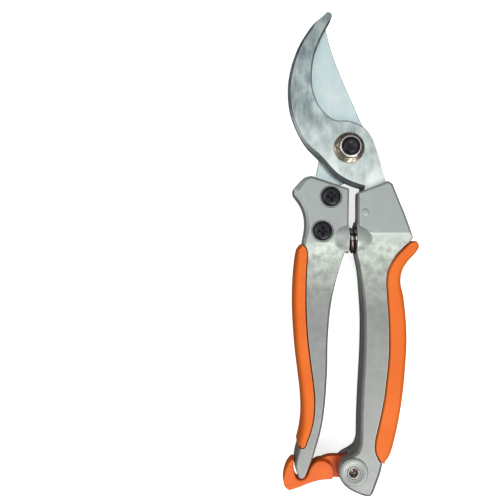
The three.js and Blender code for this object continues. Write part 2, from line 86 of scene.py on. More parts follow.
PIN_PLACE, PIN_RADIUS, PIN_HEAD_RADIUS, PIN_SEAT = (6.3, -27.2), 1.0, 1.7, 15.4
SPRING_Y, SPRING_Z, SPRING_RADIUS, SPRING_WIRE, SPRING_TURNS = -38.7, 9.0, 4.7, 0.8, 6.0
SPRING_LEFT, SPRING_RIGHT, POCKET_RADIUS = -5.0, 6.6, 5.9
DOME, DOME_CENTRE, DOME_ROOT = (13.5, 9.4, 10.3), (0.9, -37.8, 7.7), 0.3
LEFT_FACE, RIGHT_FACE = -0.5, 3.0
HEAD_LIP_BACK, HEAD_RELIEF = 11.0, 1.5
RIVET_PLACE, RIVET_BORE = (1.4, -135.2), 2.2
BOSS_PLACE, BOSS_RADIUS, BOSS_FRONT = (1.6, -135.0), 6.0, 16.8
LEVER_BACK, LEVER_FRONT = 5.9, 13.4
TONGUE_BACK, TONGUE_FRONT = 6.2, 10.2
BLADE_NUT_BACK, BLADE_NUT_FRONT, BLADE_NUT_ACROSS_FLATS = 1.3, 3.6, 7.0
NUT_POCKET_FRONT, NUT_POCKET_ACROSS_FLATS = 3.9, 7.6
GRIP_CROWN = 2.5
THREAD_START, THREAD_PITCH, THREAD_DEPTH = 14.0, 0.9, 0.42

# ---- outlines --------------------------------------------

POINT_SPACING = 0.7


def smooth_run(points):
    """A Catmull-Rom curve through the points, without its first point."""
    made = []
    for i in range(len(points) - 1):
        p1, p2 = points[i], points[i + 1]
        p0, p3 = points[max(i - 1, 0)], points[min(i + 2, len(points) - 1)]
        v1, v2 = (p2 - p0) / 2, (p3 - p1) / 2
        steps = max(2, math.ceil((p2 - p1).length / POINT_SPACING))
        for step in range(1, steps + 1):
            t = step / steps
            made.append(
                (2 * p1 - 2 * p2 + v1 + v2) * t ** 3
                + (-3 * p1 + 3 * p2 - 2 * v1 - v2) * t ** 2
                + v1 * t
                + p1
            )
    return made


def outline(start, *runs):
    """A closed anticlockwise outline. A run of one point is a straight line, a longer one a smooth curve."""
    points = [Vector(start)]
    for run in runs:
        through = [points[-1]] + [Vector(p) for p in run]
        points += through[1:] if len(run) == 1 else smooth_run(through)
    if (points[0] - points[-1]).length < 0.01:
        points.pop()
    area = sum(a.x * b.y - b.x * a.y for a, b in zip(points, points[1:] + points[:1]))
    return points if area > 0 else points[::-1]


def shifted(points, dx):
    return [(x + dx, y) for x, y in points]


HOOK_BACK_EDGE = [
    (-14.8, 52.2), (-18.2, 47.6), (-21.0, 42.8), (-23.1, 37.6), (-24.6, 32.4), (-25.4, 27.0),
    (-25.4, 21.7), (-24.8, 16.3), (-23.3, 11.1), (-20.9, 5.7), (-17.6, 0.4), (-12.3, -5.0),
    (-7.2, -10.7), (-3.2, -13.7), (1.0, -15.7), (4.9, -17.0),
]
HOOK_JAW = [
    (12.3, -2.3), (10.2, 3.6), (7.9, 7.3), (4.2, 10.1), (-0.2, 11.6), (-5.5, 11.9), (-9.2, 14.2),
    (-12.3, 17.8), (-14.0, 21.5), (-15.1, 25.2), (-15.5, 29.5), (-15.3, 33.6), (-14.6, 38.2),
    (-13.1, 42.8), (-11.2, 47.2), (-7.6, 53.8),
]
HOOK = outline(
    (-10.9, 55.6), HOOK_BACK_EDGE, [(4.7, -18.4)], [(4.7, -31.4)], [(16.8, -31.4)], [(17.0, -20.0)],
    [(15.6, -13.8)], HOOK_JAW, [(-7.05, 55.6), (-7.3, 56.6), (-8.4, 57.1), (-9.6, 56.8), (-10.9, 55.6)],
)
BLADE = outline(
    (-10.6, 53.0),
    [(-14.6, 47.0), (-17.4, 39.5), (-18.9, 31.0), (-18.9, 22.0), (-17.3, 13.5), (-14.8, 6.0),
     (-12.9, 0.5), (-12.1, -4.4)],
    [(-12.4, -7.0), (-13.4, -11.5), (-14.0, -18.0), (-15.3, -28.0), (-15.5, -36.0)],
    [(-13.9, -39.0), (-11.4, -40.0), (-8.8, -39.0), (-7.4, -36.6)],
    [(-7.4, -31.6)],
    [(-4.6, -27.5), (-3.5, -22.0), (-3.3, -15.2)],
    [(3.4, -12.6), (8.4, -7.6)],
    [(9.8, 0.0), (8.9, 6.0), (5.8, 11.4), (2.1, 19.9), (-1.7, 28.4), (-5.2, 37.2), (-7.8, 45.0),
     (-9.3, 51.6)],
)
LEFT_INNER_EDGE = [
    (-2.6, -46.0), (-5.7, -56.5), (-7.8, -67.0), (-8.9, -80.0), (-9.2, -94.0), (-10.2, -108.0),
    (-11.8, -118.0), (-15.0, -129.0),
]
LEFT_SEAM = [
    (-17.7, -46.0), (-18.2, -56.0), (-18.2, -68.0), (-17.5, -80.0), (-16.3, -90.0), (-15.1, -99.0),
    (-14.6, -106.0), (-15.1, -113.3), (-16.4, -118.8), (-17.6, -122.0), (-18.3, -124.1),
]
LEFT_CASTING = outline(
    (-15.8, -11.7), [(0.0, -17.1)], [(LEFT_FACE, -41.5)], LEFT_INNER_EDGE, [(-17.2, -134.4)],
    [(-18.6, -137.4), (-20.2, -138.2), (-21.6, -137.4)], [(-22.7, -134.0)],
    [(-22.5, -130.0), (-20.5, -122.0), (-17.5, -110.0), (-19.0, -80.0), (-19.8, -55.0), (-19.6, -41.0)],
    [(-18.7, -36.4), (-18.2, -32.0), (-18.7, -27.6), (-20.3, -23.6), (-23.2, -19.6)], [(-23.4, -17.4)],
    [(-21.3, -14.9), (-18.9, -12.5), (-15.8, -11.7)],
)
LEFT_RECESS = outline(
    (-30.0, -40.1), [(-19.7, -40.1)], [(-18.4, -41.2), (-17.6, -43.0)] + shifted(LEFT_SEAM, GAP),
    [(-18.6, -125.1), (-19.4, -125.4)], [(-30.0, -125.6)],
)
LEFT_GRIP = outline(
    (-20.2, -40.5), [(-18.7, -41.4), (-17.9, -43.2)] + LEFT_SEAM,
    [(-19.0, -124.9), (-20.9, -124.9), (-21.7, -123.6)],
    [(-20.5, -118.6), (-19.8, -112.0), (-20.1, -103.5), (-21.1, -95.0), (-22.3, -85.0), (-23.1, -75.0),
     (-23.5, -65.0), (-23.2, -54.5), (-22.4, -46.5), (-21.6, -42.4)],
)
TANG_SLOT = outline(
    (-13.6, -5.0), [(-14.4, -18.0), (-15.9, -28.0), (-16.1, -36.2)],
    [(-14.1, -39.5), (-11.4, -40.6), (-8.5, -39.5), (-6.9, -36.8)], [(-6.9, -31.2)],
    [(-4.1, -27.3), (-2.9, -21.8), (-2.5, -16.0)], [(-2.5, -5.0)],
)
RIGHT_SEAM = [
    (17.2, -48.8), (15.8, -52.4), (15.3, -56.7), (15.6, -62.3), (16.1, -70.0), (16.4, -80.0),
    (16.2, -88.0), (15.4, -96.0), (14.1, -106.0), (12.2, -115.0), (10.8, -121.0), (10.4, -125.0),
    (11.0, -128.0),
]
RIGHT_CASTING = outline(
    (RIGHT_FACE + 0.4, -18.7), [(14.0, -14.6)], [(16.0, -13.9), (18.1, -15.2)],
    [(20.6, -21.4), (23.3, -28.0), (25.6, -34.4), (26.6, -37.6)],
    [(23.0, -44.0), (19.0, -52.0), (18.6, -62.0), (19.8, -80.0), (18.6, -98.0), (16.0, -114.0),
     (14.4, -128.0)],
    [(13.2, -135.0), (10.6, -142.6)],
    [(9.2, -145.2), (7.0, -145.6), (4.4, -144.9), (0.2, -142.9), (-2.4, -140.9)],
    [(-4.1, -138.2), (-4.7, -135.2), (-4.1, -132.2), (-2.2, -129.9), (0.6, -128.3), (3.2, -126.3),
     (4.3, -123.0)],
    [(4.5, -112.0), (5.1, -99.0), (5.8, -86.0), (6.0, -72.0), (5.4, -61.0), (4.6, -52.0),
     (RIGHT_FACE, -44.0)],
)
RIGHT_RECESS = outline(
    (40.0, -38.4), [(27.4, -38.6)], [(24.8, -39.5), (19.7, -44.4)] + shifted(RIGHT_SEAM, -GAP),
    [(12.0, -130.5), (13.5, -131.9)], [(40.0, -132.1)],
)
RIGHT_GRIP = outline(
    (25.0, -39.9), [(20.1, -44.7)] + RIGHT_SEAM,
    [(12.3, -130.3), (13.7, -131.6), (14.6, -131.7), (15.3, -130.7)],
    [(17.3, -127.3), (19.3, -120.0), (21.2, -110.5), (22.6, -100.5), (23.5, -90.5), (24.0, -81.0),
     (23.7, -72.0), (22.7, -62.5), (21.5, -56.5), (22.1, -51.6), (24.4, -47.7), (27.6, -44.1), (29.1, -41.8)],
    [(28.7, -39.9), (27.6, -39.0)],
)
HEAD_RELIEF_SHAPE = outline(
    (RIGHT_FACE - 1.0, -10.0), [(RIGHT_FACE - 1.0, -31.0)],
    [(RIGHT_FACE + 0.5, -31.0), (RIGHT_FACE + 1.2, -30.6), (RIGHT_FACE + HEAD_RELIEF, -29.6)],
    [(RIGHT_FACE + HEAD_RELIEF, -10.0)],
)
HOOK_SLOT = outline(
    (4.2, -5.0), [(4.3, -31.9)], [(17.3, -31.9)], [(17.5, -20.0)], [(16.2, -13.0)], [(13.5, -5.0)],
)
LEVER = outline(
    (-22.9, -130.4),
    [(-24.2, -130.7), (-25.9, -132.9), (-27.1, -136.4), (-27.5, -140.0), (-26.6, -142.6), (-24.9, -143.7)],
    [(-20.9, -142.4), (-16.6, -140.7), (-12.0, -139.4), (-7.0, -139.0)],
    [(-6.3, -137.2), (-6.2, -135.4), (-7.4, -132.9), (-9.2, -131.6)],
    [(-11.0, -131.0), (-13.2, -131.3), (-15.0, -132.4)],
    [(-16.4, -134.4), (-17.4, -137.0), (-18.8, -138.8), (-20.4, -139.2), (-21.8, -138.6), (-22.6, -137.0)],
    [(-23.3, -133.0), (-22.9, -130.4)],
)
TONGUE = outline(
    (-12.0, -138.9), [(-12.0, -131.3)], [(-8.0, -130.0), (-3.6, -129.9), (1.4, -130.0)],
    [(5.0, -131.5), (6.6, -135.2), (5.0, -138.9), (1.4, -140.4), (-3.6, -139.2), (-12.0, -138.9)],
)

# ---- making solids ---------------------------------------


def outward_normals(points):
    p = np.array(points)
    along = np.roll(p, -1, 0) - np.roll(p, 1, 0)
    along /= np.maximum(np.linalg.norm(along, axis=1), 1e-9)[:, None]
    return np.stack([along[:, 1], -along[:, 0]], 1)


def facing(points, direction, low=-0.1, high=0.3):
    """1 where the outline looks along direction, 0 where it looks away, smooth between."""
    direction = np.array(direction) / np.linalg.norm(direction)
    share = np.clip((outward_normals(points) @ direction - low) / (high - low), 0, 1)
    return share * share * (3 - 2 * share)


def inset(points, distance):
    """The outline moved inwards by distance, one number or one for each point. Where the moved outline would
    cross itself, its points are drawn together."""
    p = np.array(points)
    d = np.broadcast_to(np.asarray(distance, float), (len(p),))
    if not d.any():
        return p
    before, after = np.roll(p, 1, 0), np.roll(p, -1, 0)
    a, b = p - before, after - p
    a = a / np.linalg.norm(a, axis=1)[:, None]
    b = b / np.linalg.norm(b, axis=1)[:, None]
    normal_a = np.stack([-a[:, 1], a[:, 0]], 1)
    middle = normal_a + np.stack([-b[:, 1], b[:, 0]], 1)
    middle /= np.maximum(np.linalg.norm(middle, axis=1), 1e-9)[:, None]
    moved = p + middle * (d / np.clip((middle * normal_a).sum(1), 0.4, 1))[:, None]
    side = after - p
    away = moved[:, None] - p[None]
    t = np.clip((away * side[None]).sum(2) / (side * side).sum(1)[None], 0, 1)
    clear = np.linalg.norm(away - t[..., None] * side[None], axis=2)
    least = np.minimum(d[:, None], np.minimum(d, np.roll(d, -1))[None])
    good = (clear >= 0.96 * least - 1e-6).all(1)
    x, y = moved[:, 0:1], moved[:, 1:2]
    spans = (p[None, :, 1] > y) != (after[None, :, 1] > y)
    height = np.where(np.abs(side[:, 1]) < 1e-12, 1e-12, side[:, 1])
    crossing = p[None, :, 0] + (y - p[None, :, 1]) * side[None, :, 0] / height[None]
    good &= ((spans & (x < crossing)).sum(1) % 2 == 1) | (d < 1e-6)
    if good.all() or not good.any():
        return moved
    n = len(p)
    first = int(np.argmax(good))
    i = first
    while i < first + n:
        if good[i % n]:
            i += 1
            continue
        j = i
        while not good[j % n]:
            j += 1
        meet = (moved[(i - 1) % n] + moved[j % n]) / 2
        for k in range(i, j):
            moved[k % n] = meet
        i = j
    return moved


def new_object(name, bm):
    bmesh.ops.recalc_face_normals(bm, faces=bm.faces)
    mesh = bpy.data.meshes.new(name)
    bm.to_mesh(mesh)
    bm.free()
    made = bpy.data.objects.new(name, mesh)
    bpy.context.scene.collection.objects.link(made)
    return made


def skin(name, loops):
    """A closed body through loops of equally many points, with flat ends."""
    bm = bmesh.new()
    rings = [[bm.verts.new(Vector(point) * MM) for point in loop] for loop in loops]
    for low, high in zip(rings, rings[1:]):
        for i in range(len(low)):
            j = (i + 1) % len(low)
            bm.faces.new((low[i], low[j], high[j], high[i]))
    bm.faces.new(rings[0][::-1])
    bm.faces.new(rings[-1])
    bmesh.ops.remove_doubles(bm, verts=bm.verts, dist=0.004 * MM)
    bmesh.ops.dissolve_degenerate(bm, edges=bm.edges, dist=0.002 * MM)
    return new_object(name, bm)


def slab(name, points, rings):
    """A flat body with the outline points. Rings are (inset, z) from the back face to the front face, and
    each of the two is one number or one for each point."""
    loops = []
    for distance, z in rings:
        heights = np.broadcast_to(np.asarray(z, float), (len(points),))
        loops.append([(x, y, height) for (x, y), height in zip(inset(points, distance), heights)])
    return skin(name, loops)


def turned(name, place, profile, sides=72, axis="Z"):
    """A body of revolution. The profile is (radius, height) from one end on the axis to the other."""
    bm = bmesh.new()
    rings = []
    for radius, height in profile:
        if radius < 1e-6:
            rings.append([bm.verts.new((0, 0, height * MM))])
            continue
        angles = [2 * math.pi * k / sides for k in range(sides)]
        reach, z = radius * MM, height * MM
        rings.append([bm.verts.new((reach * math.cos(a), reach * math.sin(a), z)) for a in angles])
    for low, high in zip(rings, rings[1:]):
        for k in range(sides):
            j = (k + 1) % sides
            if len(low) == 1 and len(high) > 1:
                bm.faces.new((low[0], high[j], high[k]))
            elif len(high) == 1 and len(low) > 1:
                bm.faces.new((low[k], low[j], high[0]))
            elif len(low) > 1:
                bm.faces.new((low[k], low[j], high[j], high[k]))
    if len(rings[0]) > 1 and len(rings[-1]) > 1:
        for k in range(sides):
            j = (k + 1) % sides
            bm.faces.new((rings[-1][k], rings[-1][j], rings[0][j], rings[0][k]))
    if axis == "X":
        bmesh.ops.rotate(bm, verts=bm.verts, matrix=Matrix.Rotation(math.pi / 2, 3, "Y"))
    bmesh.ops.translate(bm, verts=bm.verts, vec=Vector((*place, 0)[:3]) * MM)
    return new_object(name, bm)


def bar(place, radius, low, high, flare=0.0, sides=72):
    """A round bar or cutter. With flare, its high end widens to leave a chamfered mouth."""
    profile = [(0, low), (radius, low), (radius, high - flare)]
    profile += [(radius + flare, high), (radius + flare, high + 3), (0, high + 3)] if flare else [(0, high)]
    return turned("bar", place, profile, sides)


def many_sided(place, across_flats, low, high):
    return bar(place, across_flats / math.sqrt(3), low, high, sides=6)


def block(low, high):
    (x0, y0, z0), (x1, y1, z1) = low, high
    corners = [(x0, y0), (x1, y0), (x1, y1), (x0, y1)]
    return skin("block", [[(x, y, z) for x, y in corners] for z in (z0, z1)])


def ellipsoid(centre, half_sizes):
    bm = bmesh.new()
    bmesh.ops.create_uvsphere(bm, u_segments=96, v_segments=64, radius=1.0)
    bmesh.ops.scale(bm, vec=Vector(half_sizes) * MM, verts=bm.verts)
    bmesh.ops.translate(bm, vec=Vector(centre) * MM, verts=bm.verts)
    return new_object("ellipsoid", bm)


def combine(body, tools, operation="DIFFERENCE"):
    """Cuts the tools out of the body, or joins or intersects them. The tools are used up."""
    for tool in tools:
        modifier = body.modifiers.new(operation, "BOOLEAN")
        modifier.operation = operation
        modifier.solver = "EXACT"
        modifier.object = tool
    settled(body)
    for tool in tools:
        bpy.data.objects.remove(tool)
    return body


def settled(body):
    """Applies the body's modifiers."""
    graph = bpy.context.evaluated_depsgraph_get()
    mesh = bpy.data.meshes.new_from_object(body.evaluated_get(graph))
    body.modifiers.clear()
    body.data = mesh
    return body


def softened(body, width=0.12):
    """Rounds the body's sharp edges a little."""
    bm = bmesh.new()
    bm.from_mesh(body.data)
    bmesh.ops.remove_doubles(bm, verts=bm.verts, dist=0.003 * MM)
    bm.to_mesh(body.data)
    bm.free()
    modifier = body.modifiers.new("edges", "BEVEL")
    modifier.width = width * MM
    modifier.segments = 2
    modifier.limit_method = "ANGLE"
    modifier.angle_limit = math.radians(32)
    modifier.use_clamp_overlap = True
    return settled(body)


def finish_piece(piece, name, body, node, material, sharp=35, level=True):
    """Names and shades a piece. Level keeps its flat faces flat up to the rounded edges."""
    piece.name = name
    piece.data.name = name
    for polygon in piece.data.polygons:
        polygon.use_smooth = True
    piece.data.set_sharp_from_angle(angle=math.radians(sharp))
    if level:
        modifier = piece.modifiers.new("normals", "WEIGHTED_NORMAL")
        modifier.keep_sharp = True
        settled(piece)
    piece.data.materials.clear()
    piece.data.materials.append(material)
    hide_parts(node)
    if body:
        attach(piece, body)
    return piece


# ---- materials -------------------------------------------


class Look:
    """A material being put together from nodes. Lengths are in millimetres of the object."""

    def __init__(self, name, color, roughness, metallic=0.0, **constants):
        self.material = bpy.data.materials.new(name)
        self.material.use_nodes = True
        self.tree = self.material.node_tree
        self.shader = self.tree.nodes["Principled BSDF"]
        self.shader.inputs["Base Color"].default_value = (*color, 1)
        self.shader.inputs["Roughness"].default_value = roughness
        self.shader.inputs["Metallic"].default_value = metallic
        for socket, value in constants.items():
            self.shader.inputs[socket.replace("_", " ").title().replace("Ior", "IOR")].default_value = value
        self.place = self.node("ShaderNodeTexCoord").outputs["Object"]
        self.height = None

    def node(self, kind, **properties):
        made = self.tree.nodes.new(kind)
        for key, value in properties.items():
            setattr(made, key, value)
        return made

    def join(self, source, socket):
        self.tree.links.new(source, socket)

    def noise(self, size, stretch=(1, 1, 1), turn=0.0, detail=4.0, roughness=0.55, distortion=0.0):
        """Noise with features about size mm wide, stretched along the axes. Turn is in degrees about Z."""
        mapping = self.node("ShaderNodeMapping")
        self.join(self.place, mapping.inputs["Vector"])
        mapping.inputs["Rotation"].default_value = (0, 0, math.radians(turn))
        mapping.inputs["Scale"].default_value = tuple(1 / (size * MM * s) for s in stretch)
        texture = self.node("ShaderNodeTexNoise")
        self.join(mapping.outputs["Vector"], texture.inputs["Vector"])
        texture.inputs["Scale"].default_value = 1.0
        texture.inputs["Detail"].default_value = detail
        texture.inputs["Roughness"].default_value = roughness
        texture.inputs["Distortion"].default_value = distortion
        return texture.outputs["Fac"]

    def ramp(self, value, *stops):
        made = self.node("ShaderNodeValToRGB")
        elements = made.color_ramp.elements
        elements[1].position, elements[1].color = stops[-1][0], (*stops[-1][1], 1)
        elements[0].position, elements[0].color = stops[0][0], (*stops[0][1], 1)
        for position, color in stops[1:-1]:
            elements.new(position).color = (*color, 1)
        self.join(value, made.inputs["Fac"])
        return made.outputs["Color"]

    def spread(self, value, low, high, to_low, to_high, scale=1.0):
        made = self.node("ShaderNodeMapRange", clamp=True)
        self.join(value, made.inputs["Value"])
        numbers = {"From Min": low * scale, "From Max": high * scale, "To Min": to_low, "To Max": to_high}
        for socket, number in numbers.items():
            made.inputs[socket].default_value = number
        return made.outputs["Result"]

    def math(self, operation, a, b):
        made = self.node("ShaderNodeMath", operation=operation)
        for socket, value in zip(made.inputs, (a, b)):
            if isinstance(value, (int, float)):
                socket.default_value = value
            else:
                self.join(value, socket)
        return made.outputs["Value"]

    def mix(self, share, a, b):
        made = self.node("ShaderNodeMix", data_type="RGBA")
        colors = [s for s in made.inputs if s.type == "RGBA"]
        for socket, value in zip((made.inputs[0], *colors), (share, a, b)):
            if isinstance(value, (int, float)):
                socket.default_value = value
            elif isinstance(value, tuple):
                socket.default_value = (*value, 1)
            else:
                self.join(value, socket)
        return [s for s in made.outputs if s.type == "RGBA"][0]

    def edges(self, radius=0.35, low=0.004, high=0.09):
        """1 along the sharp edges and 0 on the faces."""
        bevel = self.node("ShaderNodeBevel", samples=6)
        bevel.inputs["Radius"].default_value = radius * MM
        dot = self.node("ShaderNodeVectorMath", operation="DOT_PRODUCT")
        self.join(bevel.outputs["Normal"], dot.inputs[0])
        self.join(self.node("ShaderNodeNewGeometry").outputs["Normal"], dot.inputs[1])
        return self.spread(self.math("SUBTRACT", 1.0, dot.outputs["Value"]), low, high, 0, 1)

    def along(self, axis):
        """The place along an axis in the object, in metres."""
        split = self.node("ShaderNodeSeparateXYZ")
        self.join(self.place, split.inputs["Vector"])
        return split.outputs[axis]

    def color(self, value):
        self.join(value, self.shader.inputs["Base Color"])

    def roughness(self, value):
        self.join(value, self.shader.inputs["Roughness"])

    def bump(self, value, depth, strength):
        made = self.node("ShaderNodeBump")
        made.inputs["Strength"].default_value = strength
        made.inputs["Distance"].default_value = depth * MM
        self.join(value, made.inputs["Height"])
        if self.height is not None:
            self.join(self.height, made.inputs["Normal"])
        self.height = made.outputs["Normal"]
        self.join(self.height, self.shader.inputs["Normal"])


def painted_casting():
    look = Look("handle_paint", (0.31, 0.32, 0.30), 0.42, 0.35, coat_weight=0.18, coat_roughness=0.3)
    broad = look.noise(16.0, detail=3.0)
    blotches = look.noise(3.2, detail=5.0, roughness=0.6)
    flakes = look.noise(0.16, detail=1.0)
    base = look.ramp(broad, (0.3, (0.245, 0.255, 0.240)), (0.7, (0.290, 0.295, 0.278)))
    # painted highlight: a brighter, blotchier band between the crease behind the heads and the grips, weaker
    # on the domes, standing in for light reflected in the glossy paint there
    place = look.along("Y")
    below_crease = look.spread(place, -42.0, -34.5, 1, 0, scale=MM)
    above_grips = look.spread(place, -66.0, -44.0, 0, 1, scale=MM)
    off_domes = look.spread(look.along("Z"), 16.1, 16.6, 1, 0.2, scale=MM)
    band = look.math("MULTIPLY", look.math("MULTIPLY", below_crease, above_grips), off_domes)
    blotch_share = look.math("MULTIPLY", look.spread(blotches, 0.36, 0.60, 0.35, 1.0), band)
    base = look.mix(look.spread(blotches, 0.45, 0.72, 0, 0.25), base, (0.42, 0.47, 0.43))
    # painted light: the heads are painted lighter than the handles, for the stronger light falling on them
    base = look.mix(look.spread(place, -46.0, -34.0, 0, 0.6, scale=MM), base, (0.50, 0.56, 0.53))
    # the painted highlight band itself, lighter and blotchy
    base = look.mix(look.math("MULTIPLY", blotch_share, 0.85), base, (0.78, 0.88, 0.76))
    base = look.mix(look.spread(flakes, 0.55, 0.75, 0, 0.30), base, (0.55, 0.57, 0.55))
    # painted highlight: a light line along the sharp edges, where the chamfers catch the light
    base = look.mix(look.math("MULTIPLY", look.edges(0.4, 0.001, 0.02), 0.6), base, (0.75, 0.80, 0.75))
    look.color(base)
    look.roughness(look.spread(blotches, 0.3, 0.7, 0.34, 0.5))
    look.bump(look.noise(0.9, detail=3.0), 0.05, 0.5)
    look.bump(look.noise(5.0, detail=2.0), 0.18, 0.4)
    look.bump(flakes, 0.012, 0.4)
    return look.material


def soft_grip():
    look = Look("grip_rubber", (0.93, 0.17, 0.014), 0.55, specular_ior_level=0.25)
    broad = look.noise(20.0, detail=2.0)
    fine = look.noise(0.35, detail=4.0, roughness=0.6)
    base = look.ramp(broad, (0.3, (0.84, 0.150, 0.012)), (0.7, (0.93, 0.185, 0.022)))
    base = look.mix(look.spread(fine, 0.45, 0.75, 0, 0.15), base, (0.98, 0.24, 0.05))
    # painted highlight: a lighter line along the sharp edges
    base = look.mix(look.math("MULTIPLY", look.edges(0.8), 0.2), base, (0.95, 0.32, 0.11))
    look.color(base)
    look.roughness(look.spread(fine, 0.3, 0.7, 0.46, 0.66))
    look.bump(fine, 0.03, 0.6)
    look.bump(look.noise(2.6, detail=2.0), 0.06, 0.3)
    return look.material


def moulded_latch():
    look = Look("latch_plastic", (0.86, 0.14, 0.012), 0.45, specular_ior_level=0.25)
    flow = look.noise(3.0, stretch=(3.0, 1, 1), turn=15, detail=3.0, distortion=0.6)
    fine = look.noise(0.3, detail=2.0)
    base = look.ramp(flow, (0.3, (0.80, 0.128, 0.011)), (0.7, (0.91, 0.168, 0.018)))
    base = look.mix(look.math("MULTIPLY", look.edges(0.5), 0.3), base, (0.92, 0.28, 0.09))
    # painted shadow: the arm is painted dark red where it runs in under the boss
    inner = look.spread(look.along("X"), -8.5, -4.5, 0.0, 0.75, scale=MM)
    base = look.mix(inner, base, (0.52, 0.045, 0.015))
    look.color(base)
    look.roughness(look.spread(flow, 0.3, 0.7, 0.34, 0.48))
    look.bump(flow, 0.05, 0.4)
    look.bump(fine, 0.012, 0.4)
    return look.material


def brushed_hook():
    look = Look("hook_steel", (0.40, 0.48, 0.47), 0.34, 0.85)
    clouds = look.noise(7.0, stretch=(1, 1.6, 1), turn=20, detail=5.0, roughness=0.62)
    strokes = look.noise(0.35, stretch=(1, 22, 1), turn=8, detail=3.0, distortion=0.15)
    cross = look.noise(0.5, stretch=(16, 1, 1), turn=-20, detail=2.0)
    base = look.ramp(
        clouds, (0.36, (0.21, 0.275, 0.29)), (0.5, (0.38, 0.46, 0.47)), (0.64, (0.66, 0.76, 0.73)))
    base = look.mix(look.spread(strokes, 0.42, 0.7, 0, 0.4), base, (0.66, 0.75, 0.73))
    # painted reflection: the hook is painted much lighter towards the pivot, where its face mirrors the
    # bright light overhead
    pivot_reflection = look.math("MULTIPLY", look.spread(look.along("Y"), -12.0, 20.0, 1.0, 0.0, scale=MM),
                           look.spread(clouds, 0.32, 0.6, 0.35, 1.0))
    base = look.mix(pivot_reflection, base, (0.92, 1.0, 0.95))
    # painted reflection: darker towards the tip, where the face mirrors the dim surroundings
    tip_dark_reflection = look.spread(look.along("Y"), 36.0, 55.0, 0.0, 0.4, scale=MM)
    base = look.mix(tip_dark_reflection, base, (0.24, 0.28, 0.28))
    # painted shade: the bevels and the walls are painted darker, most of all by the handle, for the shade and
    # dark reflections they show there
    split = look.node("ShaderNodeSeparateXYZ")
    normal = look.node("ShaderNodeTexCoord").outputs["Normal"]
    look.join(normal, split.inputs["Vector"])
    wall_shade = look.math("MULTIPLY", look.spread(split.outputs["Z"], 0.90, 0.985, 1.0, 0.0),
                      look.spread(look.along("Y"), -4.0, 6.0, 0.95, 0.15, scale=MM))
    base = look.mix(wall_shade, base, (0.07, 0.085, 0.085))
    # painted highlight: a light line along the sharp edges of the bevels
    base = look.mix(look.math("MULTIPLY", look.edges(0.22), 0.55), base, (0.80, 0.86, 0.85))
    look.color(base)
    look.roughness(look.math("ADD", look.spread(strokes, 0.3, 0.7, 0.28, 0.4),
                             look.spread(clouds, 0.3, 0.7, 0.0, 0.12)))
    look.bump(strokes, 0.014, 0.6)
    look.bump(cross, 0.006, 0.4)
    look.bump(clouds, 0.12, 0.5)
    return look.material


def polished_blade():
    look = Look("blade_steel", (0.74, 0.84, 0.83), 0.26, 0.85)
    strokes = look.noise(0.3, stretch=(1, 34, 1), turn=-14, detail=3.0, distortion=0.1)
    clouds = look.noise(8.0, stretch=(1, 1.8, 1), turn=-14, detail=4.0)
    base = look.ramp(clouds, (0.3, (0.66, 0.86, 0.87)), (0.7, (0.90, 1.0, 0.99)))
    base = look.mix(look.spread(strokes, 0.42, 0.72, 0, 0.25), base, (0.52, 0.64, 0.66))
    base = look.mix(look.math("MULTIPLY", look.edges(), 0.5), base, (0.93, 0.97, 0.97))
    look.color(base)
    look.roughness(look.spread(strokes, 0.3, 0.7, 0.2, 0.34))
    look.bump(strokes, 0.01, 0.6)
    look.bump(clouds, 0.05, 0.4)
    return look.material


def black_oxide():
    look = Look("black_steel", (0.014, 0.014, 0.018), 0.34, 0.4, coat_weight=0.08, coat_roughness=0.2)
    stain = look.noise(1.6, detail=4.0)
    base = look.ramp(stain, (0.35, (0.006, 0.006, 0.009)), (0.7, (0.022, 0.021, 0.028)))
    base = look.mix(look.math("MULTIPLY", look.edges(0.2), 0.3), base, (0.14, 0.14, 0.17))
    look.color(base)
    look.roughness(look.spread(stain, 0.3, 0.7, 0.26, 0.42))
    look.bump(look.noise(0.22, detail=2.0), 0.012, 0.5)
    return look.material


def yellow_zinc(name, crown=None):
    """Yellowed zinc plate. If a crown height is given, the part above it is painted lighter as a highlight,
    for the light on the top.
    """
    look = Look(name, (0.72, 0.66, 0.5), 0.24, 1.0)
    stain = look.noise(1.6, detail=4.0)
    turning = look.noise(0.25, stretch=(1, 1, 14), detail=2.0)
    base = look.ramp(
        stain, (0.38, (0.10, 0.075, 0.05)), (0.52, (0.24, 0.20, 0.155)), (0.68, (0.50, 0.46, 0.40)))
    if crown:
        # painted highlight on the top of the crown
        brighter = look.spread(look.along("Z"), crown - 0.25, crown - 0.05, 0, 0.8, scale=MM)
        base = look.mix(brighter, base, (0.66, 0.64, 0.61))
    base = look.mix(look.math("MULTIPLY", look.edges(0.25), 0.6), base, (0.93, 0.92, 0.88))
    look.color(base)
    look.roughness(look.spread(turning, 0.3, 0.7, 0.28, 0.42))
    look.bump(turning, 0.01, 0.5)
    return look.material


def brass(name, dark, light):
    look = Look(name, light, 0.3, 1.0)
    stain = look.noise(0.9, detail=4.0)
    look.color(look.mix(look.math("MULTIPLY", look.edges(0.2), 0.5),
                        look.ramp(stain, (0.35, dark), (0.65, light)), (0.93, 0.90, 0.84)))
    look.roughness(look.spread(stain, 0.3, 0.7, 0.22, 0.4))
    look.bump(look.noise(0.2, detail=2.0), 0.012, 0.5)
    return look.material


